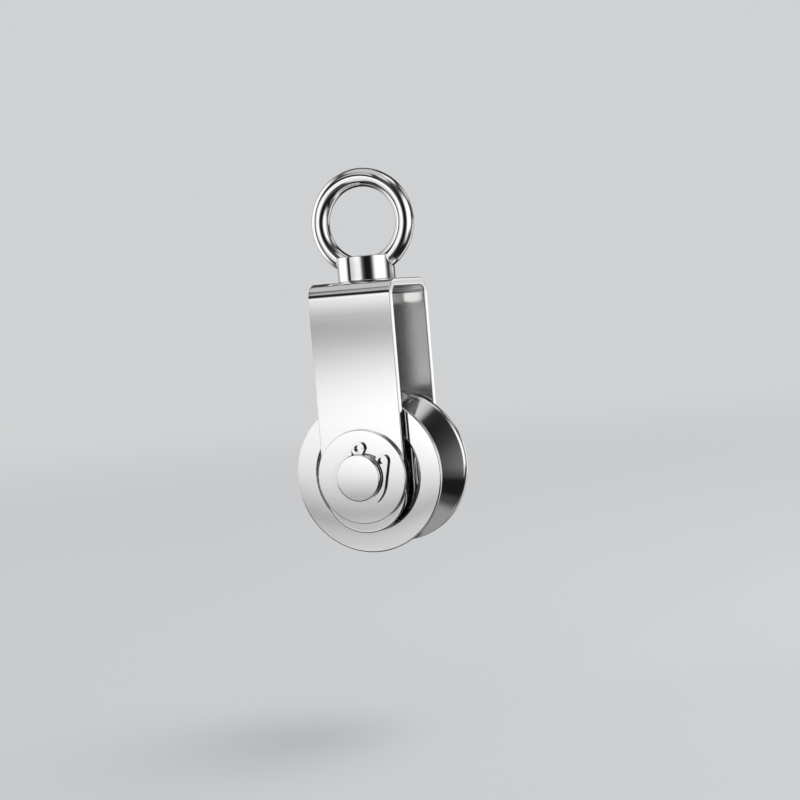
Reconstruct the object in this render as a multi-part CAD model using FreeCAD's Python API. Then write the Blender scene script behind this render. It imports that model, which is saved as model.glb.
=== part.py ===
import FreeCAD, Part
import math
import os

# Swivel pulley block for rope, in stainless steel.
# A sheet bracket bent to a U carries a grooved sheave on two ball bearings and a fixed axle.
# It hangs from a forged eye, whose shank turns in the bracket's crown.
# Millimetres. The origin is the sheave's centre, +Y runs along the axle to the rear leg,
# and +Z goes up through the eye.

# Sheave
SHEAVE_RADIUS = 25.0
SHEAVE_WIDTH = 25.3
RIM_THICKNESS = 2.0
RIM_CHAMFER = 0.4
GROOVE_RADIUS = 6.6
HUB_WALL = 2.0
RECESS_RADIUS = 18.0
RECESS_DEPTH = 1.2
RECESS_CHAMFER = 0.3

# Axle
AXLE_RADIUS = 7.5
AXLE_STANDOUT = 1.8
AXLE_CHAMFER = 0.45

# Ball bearings, thin section, 15 x 24 x 5
BEARING_RADIUS = 12.0
BEARING_WIDTH = 5.0
BEARING_INSET = 0.2
BALL_DIAMETER = 2.381
BALL_COUNT = 14
INNER_SHOULDER = 1.45
OUTER_SHOULDER = 1.5
RACE_CONFORMITY = 1.04
RACE_CHAMFER = 0.25
LAND_HEIGHT = 1.0
CAGE_WIDTH = 3.2
CAGE_THICKNESS = 0.8
SHIELD_THICKNESS = 0.25
SHIELD_SEAT = 0.35
SHIELD_INSET = 0.1

# Bracket, bent from sheet
SHEET_THICKNESS = 2.4
BRACKET_WIDTH = 28.4
BEND_RADIUS = 2.9
CROWN_HEIGHT = 61.8
LEG_TAIL = 4.0
SHEET_EDGE_RADIUS = 0.3
SIDE_GAP = 1.15

# Washers and retaining rings on the axle
WASHER_RADIUS = 15.0
WASHER_THICKNESS = 1.5
WASHER_CHAMFER = 0.25
SPACER_WALL = 1.3
SPACER_CHAMFER = 0.2
CIRCLIP_THICKNESS = 1.2
CIRCLIP_BODY_RADIUS = 9.1
CIRCLIP_OFFSET = 1.2
CIRCLIP_GROOVE_DEPTH = 0.35
CIRCLIP_LUG_CENTRE = 9.1
CIRCLIP_LUG_RADIUS = 2.2
CIRCLIP_LUG_ANGLE = 29.0
CIRCLIP_GAP = 4.7
CIRCLIP_HOLE_RADIUS = 1.2
FRONT_CIRCLIP_TURN = 61.0
REAR_CIRCLIP_TURN = 250.0

# Swivel eye
RING_RADIUS = 14.5
RING_WIRE_RADIUS = 3.0
RING_SINK = 0.6
EYE_TURN = 3.0
COLLAR_RADIUS = 9.3
COLLAR_HEIGHT = 8.0
COLLAR_CHAMFER = 0.35
SHANK_RADIUS = 4.0
SHANK_STANDOUT = 0.2
SHANK_CHAMFER = 0.2

# Thrust washer and thin lock nut under the crown
THRUST_WASHER_RADIUS = 8.0
THRUST_WASHER_THICKNESS = 1.6
NUT_ACROSS_FLATS = 13.0
NUT_HEIGHT = 4.0

# Clearances
SLIP_FIT = 0.04
RUN_FIT = 0.08
BALL_PLAY = 0.04
POCKET_PLAY = 0.06
SHIELD_PLAY = 0.15
THRUST_PLAY = 0.05
COLLAR_PLAY = 0.10
CIRCLIP_PLAY = 0.05

# Places along the axle, measured from the sheave's middle
HALF_WIDTH = SHEAVE_WIDTH / 2
RECESS_FLOOR = HALF_WIDTH - RECESS_DEPTH
BEARING_OUTER_FACE = RECESS_FLOOR - BEARING_INSET
BEARING_INNER_FACE = BEARING_OUTER_FACE - BEARING_WIDTH
BEARING_CENTRE = BEARING_OUTER_FACE - BEARING_WIDTH / 2
LEG_INNER_FACE = HALF_WIDTH + SIDE_GAP
LEG_OUTER_FACE = LEG_INNER_FACE + SHEET_THICKNESS
WASHER_FACE = LEG_OUTER_FACE + WASHER_THICKNESS
CIRCLIP_FACE = WASHER_FACE + CIRCLIP_THICKNESS
AXLE_END = CIRCLIP_FACE + AXLE_STANDOUT

# Radii in the bearings
AXLE_BORE = AXLE_RADIUS + SLIP_FIT
INNER_SHOULDER_RADIUS = AXLE_RADIUS + INNER_SHOULDER
OUTER_SHOULDER_RADIUS = BEARING_RADIUS - OUTER_SHOULDER
PITCH_RADIUS = (INNER_SHOULDER_RADIUS + OUTER_SHOULDER_RADIUS) / 2
BALL_RADIUS = BALL_DIAMETER / 2
RACE_GROOVE_RADIUS = BALL_RADIUS * RACE_CONFORMITY
BEARING_SEAT = BEARING_RADIUS + SLIP_FIT
SHIELD_RADIUS = OUTER_SHOULDER_RADIUS + SHIELD_SEAT
CIRCLIP_BORE = AXLE_RADIUS - CIRCLIP_GROOVE_DEPTH

# Heights on the swivel
CROWN_UNDERSIDE = CROWN_HEIGHT - SHEET_THICKNESS
COLLAR_BOTTOM = CROWN_HEIGHT + COLLAR_PLAY
COLLAR_TOP = COLLAR_BOTTOM + COLLAR_HEIGHT
RING_CENTRE = COLLAR_TOP - RING_SINK + RING_RADIUS - RING_WIRE_RADIUS
THRUST_WASHER_TOP = CROWN_UNDERSIDE - THRUST_PLAY
NUT_TOP = THRUST_WASHER_TOP - THRUST_WASHER_THICKNESS
NUT_BOTTOM = NUT_TOP - NUT_HEIGHT
SHANK_END = NUT_BOTTOM - SHANK_STANDOUT

# A seam in the bracket's sheet is told from an edge by its box, to within this slack
SEAM_SLACK = 0.001

CENTRE = FreeCAD.Vector(0, 0, 0)
ALONG_Y = FreeCAD.Vector(0, 1, 0)
ALONG_Z = FreeCAD.Vector(0, 0, 1)


def turned_on_axle(outline):
    """Turn a closed outline of (radius, y) corners about the axle."""
    corners = [FreeCAD.Vector(radius, y, 0) for radius, y in outline]
    wire = Part.makePolygon(corners + corners[:1])
    return Part.Face(wire).revolve(CENTRE, ALONG_Y, 360)


def turned_on_swivel(outline):
    """Turn a closed outline of (radius, z) corners about the swivel's axis."""
    corners = [FreeCAD.Vector(radius, 0, z) for radius, z in outline]
    wire = Part.makePolygon(corners + corners[:1])
    return Part.Face(wire).revolve(CENTRE, ALONG_Z, 360)


def ring_on_axle(bore, radius, start, length, chamfer=0.0):
    """A plain turned ring, with its four edges broken by a chamfer where one is given."""
    if chamfer == 0.0:
        corners = [(bore, start), (radius, start), (radius, start + length), (bore, start + length)]
        return turned_on_axle(corners)
    end = start + length
    return turned_on_axle([
        (bore, start + chamfer),
        (bore + chamfer, start),
        (radius - chamfer, start),
        (radius, start + chamfer),
        (radius, end - chamfer),
        (radius - chamfer, end),
        (bore + chamfer, end),
        (bore, end - chamfer),
    ])


def opposite(shape):
    """The same piece on the other side of the middle plane."""
    return shape.mirror(CENTRE, ALONG_Y)


def make_sheave_blank():
    """Turned blank: bearing seats, the land between them, and a shallow recess in each face."""
    half = [
        (BEARING_RADIUS - LAND_HEIGHT, BEARING_INNER_FACE),
        (BEARING_SEAT, BEARING_INNER_FACE),
        (BEARING_SEAT, RECESS_FLOOR),
        (RECESS_RADIUS, RECESS_FLOOR),
        (RECESS_RADIUS, HALF_WIDTH - RECESS_CHAMFER),
        (RECESS_RADIUS + RECESS_CHAMFER, HALF_WIDTH),
        (SHEAVE_RADIUS - RIM_CHAMFER, HALF_WIDTH),
        (SHEAVE_RADIUS, HALF_WIDTH - RIM_CHAMFER),
    ]
    mirrored = [(radius, -y) for radius, y in reversed(half)]
    return turned_on_axle(half + mirrored)


def make_rope_groove():
    """Cutter for the rope groove: a round root, with straight flanks tangent to it."""
    mouth = HALF_WIDTH - RIM_THICKNESS
    root = BEARING_SEAT + HUB_WALL
    middle = root + GROOVE_RADIUS
    reach = math.hypot(SHEAVE_RADIUS - middle, mouth)
    touch = math.atan2(mouth, SHEAVE_RADIUS - middle) + math.acos(GROOVE_RADIUS / reach)
    touch_radius = middle + GROOVE_RADIUS * math.cos(touch)
    touch_y = GROOVE_RADIUS * math.sin(touch)
    outside = SHEAVE_RADIUS + RIM_THICKNESS

    front_rim = FreeCAD.Vector(SHEAVE_RADIUS, -mouth, 0)
    front_touch = FreeCAD.Vector(touch_radius, -touch_y, 0)
    bottom = FreeCAD.Vector(root, 0, 0)
    rear_touch = FreeCAD.Vector(touch_radius, touch_y, 0)
    rear_rim = FreeCAD.Vector(SHEAVE_RADIUS, mouth, 0)
    rear_outside = FreeCAD.Vector(outside, mouth, 0)
    front_outside = FreeCAD.Vector(outside, -mouth, 0)
    edges = [
        Part.makeLine(front_rim, front_touch),
        Part.Arc(front_touch, bottom, rear_touch).toShape(),
        Part.makeLine(rear_touch, rear_rim),
        Part.makeLine(rear_rim, rear_outside),
        Part.makeLine(rear_outside, front_outside),
        Part.makeLine(front_outside, front_rim),
    ]
    return Part.Face(Part.Wire(edges)).revolve(CENTRE, ALONG_Y, 360)


def make_sheave():
    return make_sheave_blank().cut(make_rope_groove())


def make_inner_race():
    ring = ring_on_axle(AXLE_BORE, INNER_SHOULDER_RADIUS, -BEARING_WIDTH / 2, BEARING_WIDTH, RACE_CHAMFER)
    bottom = PITCH_RADIUS - BALL_RADIUS - BALL_PLAY
    track = Part.makeTorus(bottom + RACE_GROOVE_RADIUS, RACE_GROOVE_RADIUS, CENTRE, ALONG_Y)
    return ring.cut(track)


def make_outer_race():
    """Outer race, with a step at each end for its shield."""
    ring = ring_on_axle(OUTER_SHOULDER_RADIUS, BEARING_RADIUS, -BEARING_WIDTH / 2, BEARING_WIDTH, RACE_CHAMFER)
    bottom = PITCH_RADIUS + BALL_RADIUS + BALL_PLAY
    track = Part.makeTorus(bottom - RACE_GROOVE_RADIUS, RACE_GROOVE_RADIUS, CENTRE, ALONG_Y)
    step_depth = SHIELD_THICKNESS + SHIELD_INSET
    step = ring_on_axle(PITCH_RADIUS, SHIELD_RADIUS, BEARING_WIDTH / 2 - step_depth, step_depth)
    return ring.cut(track).cut(step).cut(opposite(step))


def make_shield():
    """Thin steel shield on the +Y side of a bearing at the origin."""
    start = BEARING_WIDTH / 2 - SHIELD_INSET - SHIELD_THICKNESS
    return ring_on_axle(INNER_SHOULDER_RADIUS + SHIELD_PLAY, SHIELD_RADIUS, start, SHIELD_THICKNESS)


def ball_place(number):
    angle = 2 * math.pi * number / BALL_COUNT
    return FreeCAD.Vector(PITCH_RADIUS * math.cos(angle), 0, PITCH_RADIUS * math.sin(angle))


def make_balls():
    return Part.makeCompound([Part.makeSphere(BALL_RADIUS, ball_place(n)) for n in range(BALL_COUNT)])


def make_cage():
    """One ring between the races, with a round pocket bored through it for each ball."""
    bore = PITCH_RADIUS - CAGE_THICKNESS / 2
    cage = ring_on_axle(bore, bore + CAGE_THICKNESS, -CAGE_WIDTH / 2, CAGE_WIDTH)
    for number in range(BALL_COUNT):
        outward = ball_place(number)
        cage = cage.cut(Part.makeCylinder(BALL_RADIUS + POCKET_PLAY, BEARING_RADIUS, CENTRE, outward))
    return cage


def make_bearing():
    """The pieces of one bearing, at the origin, by name."""
    shield = make_shield()
    return {
        "inner_race": make_inner_race(),
        "outer_race": make_outer_race(),
        "balls": make_balls(),
        "ball_cage": make_cage(),
        "outer_shield": shield,
        "inner_shield": opposite(shield),
    }


def make_axle():
    """Plain ground pin, with a groove near each end for its retaining ring."""
    pin = turned_on_axle([
        (0, -AXLE_END),
        (AXLE_RADIUS - AXLE_CHAMFER, -AXLE_END),
        (AXLE_RADIUS, -AXLE_END + AXLE_CHAMFER),
        (AXLE_RADIUS, AXLE_END - AXLE_CHAMFER),
        (AXLE_RADIUS - AXLE_CHAMFER, AXLE_END),
        (0, AXLE_END),
    ])
    groove_width = CIRCLIP_THICKNESS + 2 * CIRCLIP_PLAY
    groove = ring_on_axle(CIRCLIP_BORE, AXLE_RADIUS + 1, WASHER_FACE - CIRCLIP_PLAY, groove_width)
    return pin.cut(groove).cut(opposite(groove))


def polar(radius, degrees):
    """A point in the plane across the axle, with its angle from +X towards +Z."""
    angle = math.radians(degrees)
    return FreeCAD.Vector(radius * math.cos(angle), 0, radius * math.sin(angle))


def disc(radius, middle):
    return Part.makeCylinder(radius, CIRCLIP_THICKNESS, middle, ALONG_Y)


def make_circlip_lug(degrees):
    """One ear of the ring: a round end on a straight root, pointing out from the axle."""
    end = polar(CIRCLIP_LUG_CENTRE, degrees)
    sideways = polar(CIRCLIP_LUG_RADIUS, degrees + 90)
    corners = [CENTRE + sideways, end + sideways, end - sideways, CENTRE - sideways]
    root = Part.Face(Part.makePolygon(corners + corners[:1])).extrude(ALONG_Y * CIRCLIP_THICKNESS)
    return root.fuse(disc(CIRCLIP_LUG_RADIUS, end))


def make_circlip_shoulder(turn, side):
    """Straight flank of the ring, tangent to its body and to the round end of one ear."""
    body = polar(-CIRCLIP_OFFSET, turn)
    ear = polar(CIRCLIP_LUG_CENTRE, turn + side * CIRCLIP_LUG_ANGLE)
    span = ear - body
    lean = math.degrees(math.acos((CIRCLIP_BODY_RADIUS - CIRCLIP_LUG_RADIUS) / span.Length))
    outward = math.degrees(math.atan2(span.z, span.x)) + side * lean
    corners = [
        body,
        ear,
        ear + polar(CIRCLIP_LUG_RADIUS, outward),
        body + polar(CIRCLIP_BODY_RADIUS, outward),
    ]
    return Part.Face(Part.makePolygon(corners + corners[:1])).extrude(ALONG_Y * CIRCLIP_THICKNESS)


def make_circlip_gap(turn):
    """Cutter for the slot with parallel sides between the ears."""
    sideways = polar(CIRCLIP_GAP / 2, turn + 90)
    reach = polar(2 * CIRCLIP_BODY_RADIUS, turn)
    corners = [CENTRE + sideways, reach + sideways, reach - sideways, CENTRE - sideways]
    return Part.Face(Part.makePolygon(corners + corners[:1])).extrude(ALONG_Y * CIRCLIP_THICKNESS)


def make_circlip(turn):
    """Open retaining ring: thick opposite its gap, with an eared end on each side of it."""
    ring = disc(CIRCLIP_BODY_RADIUS, polar(-CIRCLIP_OFFSET, turn))
    for side in (-1, 1):
        ring = ring.fuse(make_circlip_lug(turn + side * CIRCLIP_LUG_ANGLE))
        ring = ring.fuse(make_circlip_shoulder(turn, side))
    ring = ring.cut(disc(CIRCLIP_BORE, CENTRE)).cut(make_circlip_gap(turn))
    for side in (-1, 1):
        hole = polar(CIRCLIP_LUG_CENTRE, turn + side * CIRCLIP_LUG_ANGLE)
        ring = ring.cut(disc(CIRCLIP_HOLE_RADIUS, hole))
    return ring.removeSplitter()


def make_bracket_strip():
    """The U of bent sheet, seen along X, drawn across the full width of the strip."""
    half = BRACKET_WIDTH / 2
    bottom = -LEG_TAIL - half
    inside_y = LEG_INNER_FACE - BEND_RADIUS
    inside_z = CROWN_UNDERSIDE - BEND_RADIUS
    slant = math.sqrt(0.5)

    def point(y, z):
        return FreeCAD.Vector(-half, y, z)

    def bend(radius, side):
        """Start, middle and end of a bend, going up the leg on one side and over."""
        return (
            point(side * (inside_y + radius), inside_z),
            point(side * (inside_y + slant * radius), inside_z + slant * radius),
            point(side * inside_y, inside_z + radius),
        )

    outer_radius = BEND_RADIUS + SHEET_THICKNESS
    front_outer = bend(outer_radius, -1)
    rear_outer = bend(outer_radius, 1)
    front_inner = bend(BEND_RADIUS, -1)
    rear_inner = bend(BEND_RADIUS, 1)
    front_out = point(-LEG_OUTER_FACE, bottom)
    front_in = point(-LEG_INNER_FACE, bottom)
    rear_out = point(LEG_OUTER_FACE, bottom)
    rear_in = point(LEG_INNER_FACE, bottom)
    edges = [
        Part.makeLine(front_out, front_outer[0]),
        Part.Arc(*front_outer).toShape(),
        Part.makeLine(front_outer[2], rear_outer[2]),
        Part.Arc(*reversed(rear_outer)).toShape(),
        Part.makeLine(rear_outer[0], rear_out),
        Part.makeLine(rear_out, rear_in),
        Part.makeLine(rear_in, rear_inner[0]),
        Part.Arc(*rear_inner).toShape(),
        Part.makeLine(rear_inner[2], front_inner[2]),
        Part.Arc(*reversed(front_inner)).toShape(),
        Part.makeLine(front_inner[0], front_in),
        Part.makeLine(front_in, front_out),
    ]
    return Part.Face(Part.Wire(edges)).extrude(FreeCAD.Vector(BRACKET_WIDTH, 0, 0))


def make_leg_outline():
    """Cutter with the legs' front view: straight sides, and a round end below the axle."""
    half = BRACKET_WIDTH / 2
    start = -LEG_OUTER_FACE - SHEET_THICKNESS
    top = CROWN_HEIGHT + SHEET_THICKNESS
    left_top = FreeCAD.Vector(-half, start, top)
    right_top = FreeCAD.Vector(half, start, top)
    right_end = FreeCAD.Vector(half, start, -LEG_TAIL)
    lowest = FreeCAD.Vector(0, start, -LEG_TAIL - half)
    left_end = FreeCAD.Vector(-half, start, -LEG_TAIL)
    edges = [
        Part.makeLine(left_top, right_top),
        Part.makeLine(right_top, right_end),
        Part.Arc(right_end, lowest, left_end).toShape(),
        Part.makeLine(left_end, left_top),
    ]
    return Part.Face(Part.Wire(edges)).extrude(ALONG_Y * (-2 * start))


def sharp_edges(sheet):
    """The sheet's cut edges, without the seams where a bend or a round end starts."""
    def is_seam(edge):
        box = edge.BoundBox
        across_strip = box.YLength + box.ZLength < SEAM_SLACK
        at_round_end = box.XLength + box.ZLength < SEAM_SLACK and box.ZMax < 0
        return across_strip or at_round_end

    return [edge for edge in sheet.Edges if not is_seam(edge)]


def make_bracket():
    strip = make_bracket_strip().common(make_leg_outline())
    strip = strip.makeFillet(SHEET_EDGE_RADIUS, sharp_edges(strip))
    axle_hole = Part.makeCylinder(AXLE_RADIUS + SLIP_FIT, 4 * LEG_OUTER_FACE,
                                  FreeCAD.Vector(0, -2 * LEG_OUTER_FACE, 0), ALONG_Y)
    swivel_hole = Part.makeCylinder(SHANK_RADIUS + RUN_FIT, 3 * SHEET_THICKNESS,
                                    FreeCAD.Vector(0, 0, CROWN_HEIGHT - 2 * SHEET_THICKNESS), ALONG_Z)
    return strip.cut(axle_hole).cut(swivel_hole)


def make_washer():
    """Outer washer, as it sits on the rear leg."""
    return ring_on_axle(AXLE_RADIUS + SLIP_FIT, WASHER_RADIUS, LEG_OUTER_FACE, WASHER_THICKNESS, WASHER_CHAMFER)


def make_side_spacer():
    """Ring that fills the space between a leg and its bearing's inner race."""
    length = LEG_INNER_FACE - BEARING_OUTER_FACE
    return ring_on_axle(AXLE_BORE, AXLE_RADIUS + SPACER_WALL, BEARING_OUTER_FACE, length, SPACER_CHAMFER)


def make_centre_spacer():
    """Tube that keeps the two inner races apart."""
    return ring_on_axle(AXLE_BORE, AXLE_RADIUS + SPACER_WALL, -BEARING_INNER_FACE,
                        2 * BEARING_INNER_FACE, SPACER_CHAMFER)


def make_swivel_eye():
    """Forged ring on a turned collar, with the shank that turns in the bracket's crown."""
    collar_and_shank = turned_on_swivel([
        (0, SHANK_END),
        (SHANK_RADIUS - SHANK_CHAMFER, SHANK_END),
        (SHANK_RADIUS, SHANK_END + SHANK_CHAMFER),
        (SHANK_RADIUS, COLLAR_BOTTOM),
        (COLLAR_RADIUS - COLLAR_CHAMFER, COLLAR_BOTTOM),
        (COLLAR_RADIUS, COLLAR_BOTTOM + COLLAR_CHAMFER),
        (COLLAR_RADIUS, COLLAR_TOP - COLLAR_CHAMFER),
        (COLLAR_RADIUS - COLLAR_CHAMFER, COLLAR_TOP),
        (0, COLLAR_TOP),
    ])
    middle = FreeCAD.Vector(0, 0, RING_CENTRE)
    ring = Part.makeTorus(RING_RADIUS, RING_WIRE_RADIUS, middle, ALONG_Y)
    ring.rotate(CENTRE, ALONG_Z, EYE_TURN)
    return collar_and_shank.fuse(ring).removeSplitter()


def make_thrust_washer():
    bottom = THRUST_WASHER_TOP - THRUST_WASHER_THICKNESS
    return turned_on_swivel([
        (SHANK_RADIUS + SLIP_FIT, bottom),
        (THRUST_WASHER_RADIUS - WASHER_CHAMFER, bottom),
        (THRUST_WASHER_RADIUS, bottom + WASHER_CHAMFER),
        (THRUST_WASHER_RADIUS, THRUST_WASHER_TOP - WASHER_CHAMFER),
        (THRUST_WASHER_RADIUS - WASHER_CHAMFER, THRUST_WASHER_TOP),
        (SHANK_RADIUS + SLIP_FIT, THRUST_WASHER_TOP),
    ])


def make_lock_nut():
    """Thin hexagon nut, chamfered on both faces. The shank's end is peened over under it."""
    corner = NUT_ACROSS_FLATS / math.sqrt(3)
    corners = [FreeCAD.Vector(corner * math.cos(math.pi * n / 3), corner * math.sin(math.pi * n / 3),
                              NUT_BOTTOM) for n in range(6)]
    hexagon = Part.Face(Part.makePolygon(corners + corners[:1])).extrude(ALONG_Z * NUT_HEIGHT)
    flat = NUT_ACROSS_FLATS / 2
    slope = (corner - flat) * math.tan(math.radians(30))
    bore = SHANK_RADIUS + SLIP_FIT
    barrel = turned_on_swivel([
        (bore, NUT_BOTTOM),
        (flat, NUT_BOTTOM),
        (corner, NUT_BOTTOM + slope),
        (corner, NUT_TOP - slope),
        (flat, NUT_TOP),
        (bore, NUT_TOP),
    ])
    return hexagon.common(barrel)


def save(name, shape):
    shape.exportStep(os.path.join("parts", name + ".step"))


def main():
    os.makedirs("parts", exist_ok=True)
    save("swivel_eye", make_swivel_eye())
    save("thrust_washer", make_thrust_washer())
    save("lock_nut", make_lock_nut())
    save("bracket", make_bracket())
    save("axle", make_axle())
    save("centre_spacer", make_centre_spacer())
    save("sheave", make_sheave())

    save("rear_washer", make_washer())
    save("front_washer", opposite(make_washer()))
    save("rear_spacer", make_side_spacer())
    save("front_spacer", opposite(make_side_spacer()))
    rear_circlip = make_circlip(REAR_CIRCLIP_TURN)
    rear_circlip.translate(ALONG_Y * WASHER_FACE)
    save("rear_circlip", rear_circlip)
    front_circlip = make_circlip(FRONT_CIRCLIP_TURN)
    front_circlip.translate(ALONG_Y * -CIRCLIP_FACE)
    save("front_circlip", front_circlip)

    for name, shape in make_bearing().items():
        shape.translate(ALONG_Y * BEARING_CENTRE)
        save("rear_" + name, shape)
        save("front_" + name, opposite(shape))


main()
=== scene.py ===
import bmesh
import bpy
import math
from mathutils import Matrix, Vector


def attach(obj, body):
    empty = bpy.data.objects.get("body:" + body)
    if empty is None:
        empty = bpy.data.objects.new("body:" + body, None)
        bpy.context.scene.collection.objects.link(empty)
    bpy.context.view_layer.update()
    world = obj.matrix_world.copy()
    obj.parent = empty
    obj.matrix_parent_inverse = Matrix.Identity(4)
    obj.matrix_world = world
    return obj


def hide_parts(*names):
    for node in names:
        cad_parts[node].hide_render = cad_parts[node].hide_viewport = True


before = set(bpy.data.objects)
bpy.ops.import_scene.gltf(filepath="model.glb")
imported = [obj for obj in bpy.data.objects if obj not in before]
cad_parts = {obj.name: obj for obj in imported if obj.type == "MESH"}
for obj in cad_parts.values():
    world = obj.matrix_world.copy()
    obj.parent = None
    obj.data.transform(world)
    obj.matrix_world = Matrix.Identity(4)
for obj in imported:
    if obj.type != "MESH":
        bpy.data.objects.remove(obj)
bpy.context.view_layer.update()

# Swivel pulley block in stainless steel: a sheave on two ball bearings in a bent sheet bracket,
# which hangs from a forged eye. Metres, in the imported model's own frame: the origin is the
# sheave's centre, +Y runs along the axle to the rear leg, and +Z goes up through the eye.

# Camera
# A long lens a little to the right of the block and hardly above its middle, rolled slightly
# so that the block leans as a hanging one does.
CAMERA_PLACE = Vector((0.2116581, -0.4904885, 0.0531926))
CAMERA_RIGHT = Vector((0.9222106, 0.3776947, -0.0829118))
CAMERA_UP = Vector((0.0546915, 0.0848597, 0.9948908))
CAMERA_BACK = Vector((0.3828008, -0.9220334, 0.0576018))
camera_data = bpy.data.cameras.new("camera")
camera_data.lens = 73.909
camera_data.sensor_width = 36
camera_data.clip_start = 0.01
camera_data.clip_end = 20
camera = bpy.data.objects.new("camera", camera_data)
camera.matrix_world = Matrix((
    (CAMERA_RIGHT.x, CAMERA_UP.x, CAMERA_BACK.x, CAMERA_PLACE.x),
    (CAMERA_RIGHT.y, CAMERA_UP.y, CAMERA_BACK.y, CAMERA_PLACE.y),
    (CAMERA_RIGHT.z, CAMERA_UP.z, CAMERA_BACK.z, CAMERA_PLACE.z),
    (0, 0, 0, 1),
))
bpy.context.scene.collection.objects.link(camera)
bpy.context.scene.camera = camera
bpy.context.scene.view_settings.view_transform = "Standard"

# Studio surroundings
# Polished steel shows what stands round it, so the block hangs over a pale floor in a pale room.
# Two graded cards and a black tent with softboxes in its openings show only in the steel.
ROOM_COLOUR = (0.63, 0.64, 0.65)
FLOOR_COLOUR = (0.70, 0.705, 0.71)
FLOOR_HEIGHT = -0.085
FLOOR_RADIUS = 6.0
FADE_START = 0.15
FADE_END = 1.6
WHITE = 1.15
BLACK = 0.015

world = bpy.data.worlds.new("pale room")
world.use_nodes = True
world.node_tree.nodes["Background"].inputs["Color"].default_value = (*ROOM_COLOUR, 1)
world.node_tree.nodes["Background"].inputs["Strength"].default_value = 1
bpy.context.scene.world = world


def placed(name, bm, finishes):
    """Make an object of a finished bmesh, with its materials."""
    mesh = bpy.data.meshes.new(name)
    bm.to_mesh(mesh)
    bm.free()
    for finish in finishes:
        mesh.materials.append(finish)
    piece = bpy.data.objects.new(name, mesh)
    bpy.context.scene.collection.objects.link(piece)
    return piece


def floor_paint():
    """Pale paint that takes the block's shadow, and fades into the room's colour far away."""
    paint = bpy.data.materials.new("floor paint")
    paint.use_nodes = True
    nodes = paint.node_tree.nodes
    links = paint.node_tree.links
    shader = nodes["Principled BSDF"]
    shader.inputs["Base Color"].default_value = (*FLOOR_COLOUR, 1)
    shader.inputs["Roughness"].default_value = 0.9
    shader.inputs["Specular IOR Level"].default_value = 0.1
    places = nodes.new("ShaderNodeTexCoord")
    distance = nodes.new("ShaderNodeVectorMath")
    distance.operation = "LENGTH"
    fade = nodes.new("ShaderNodeMapRange")
    fade.interpolation_type = "SMOOTHSTEP"
    fade.inputs["From Min"].default_value = FADE_START
    fade.inputs["From Max"].default_value = FADE_END
    far = nodes.new("ShaderNodeEmission")
    far.inputs["Color"].default_value = (*ROOM_COLOUR, 1)
    blend = nodes.new("ShaderNodeMixShader")
    links.new(places.outputs["Object"], distance.inputs[0])
    links.new(distance.outputs["Value"], fade.inputs["Value"])
    links.new(fade.outputs["Result"], blend.inputs["Fac"])
    links.new(shader.outputs["BSDF"], blend.inputs[1])
    links.new(far.outputs["Emission"], blend.inputs[2])
    links.new(blend.outputs["Shader"], nodes["Material Output"].inputs["Surface"])
    return paint


floor_mesh = bmesh.new()
bmesh.ops.create_circle(floor_mesh, cap_ends=True, radius=FLOOR_RADIUS, segments=96,
                        matrix=Matrix.Translation((0, 0, FLOOR_HEIGHT)))
floor = placed("floor", floor_mesh, [floor_paint()])


def glow(name, low, high, stops, across):
    """A card's brightness, graded upwards between (height, brightness) stops, and dimmed
    sideways: (left place, share, right place, share)."""
    paint = bpy.data.materials.new(name)
    paint.use_nodes = True
    nodes = paint.node_tree.nodes
    links = paint.node_tree.links
    nodes.clear()
    places = nodes.new("ShaderNodeTexCoord")
    split = nodes.new("ShaderNodeSeparateXYZ")
    share = nodes.new("ShaderNodeMapRange")
    share.inputs["From Min"].default_value = low
    share.inputs["From Max"].default_value = high
    ramp = nodes.new("ShaderNodeValToRGB")
    light = nodes.new("ShaderNodeEmission")
    output = nodes.new("ShaderNodeOutputMaterial")
    links.new(places.outputs["Object"], split.inputs["Vector"])
    links.new(split.outputs["Z"], share.inputs["Value"])
    links.new(share.outputs["Result"], ramp.inputs["Fac"])
    sideways = nodes.new("ShaderNodeMapRange")
    for socket, value in zip(("From Min", "To Min", "From Max", "To Max"), across):
        sideways.inputs[socket].default_value = value
    links.new(split.outputs["X"], sideways.inputs["Value"])
    links.new(sideways.outputs["Result"], light.inputs["Strength"])
    links.new(ramp.outputs["Color"], light.inputs["Color"])
    links.new(light.outputs["Emission"], output.inputs["Surface"])
    elements = ramp.color_ramp.elements
    for number, (height, brightness) in enumerate(stops):
        position = (height - low) / (high - low)
        element = elements[number] if number < 2 else elements.new(position)
        element.position = position
        element.color = (brightness, brightness, brightness, 1)
    return paint


def mirrored_only(piece):
    """Let a piece of the surroundings show in the steel and nowhere else."""
    piece.visible_camera = False
    piece.visible_diffuse = False
    piece.visible_shadow = False


def card(name, azimuth, distance, left, right, low, high, stops, across):
    """An upright card that faces the block. Azimuth 0 stands in front and 90 on the right."""
    bm = bmesh.new()
    bmesh.ops.create_grid(bm, x_segments=1, y_segments=1, size=0.5)
    bmesh.ops.scale(bm, vec=(right - left, high - low, 1), verts=bm.verts)
    upright = Matrix.Rotation(math.radians(90), 3, "X")
    bmesh.ops.rotate(bm, cent=(0, 0, 0), matrix=upright, verts=bm.verts)
    bmesh.ops.translate(bm, vec=((left + right) / 2, -distance, (low + high) / 2), verts=bm.verts)
    piece = placed(name, bm, [glow(name, low, high, stops, across)])
    piece.rotation_euler.z = math.radians(azimuth)
    mirrored_only(piece)


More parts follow.
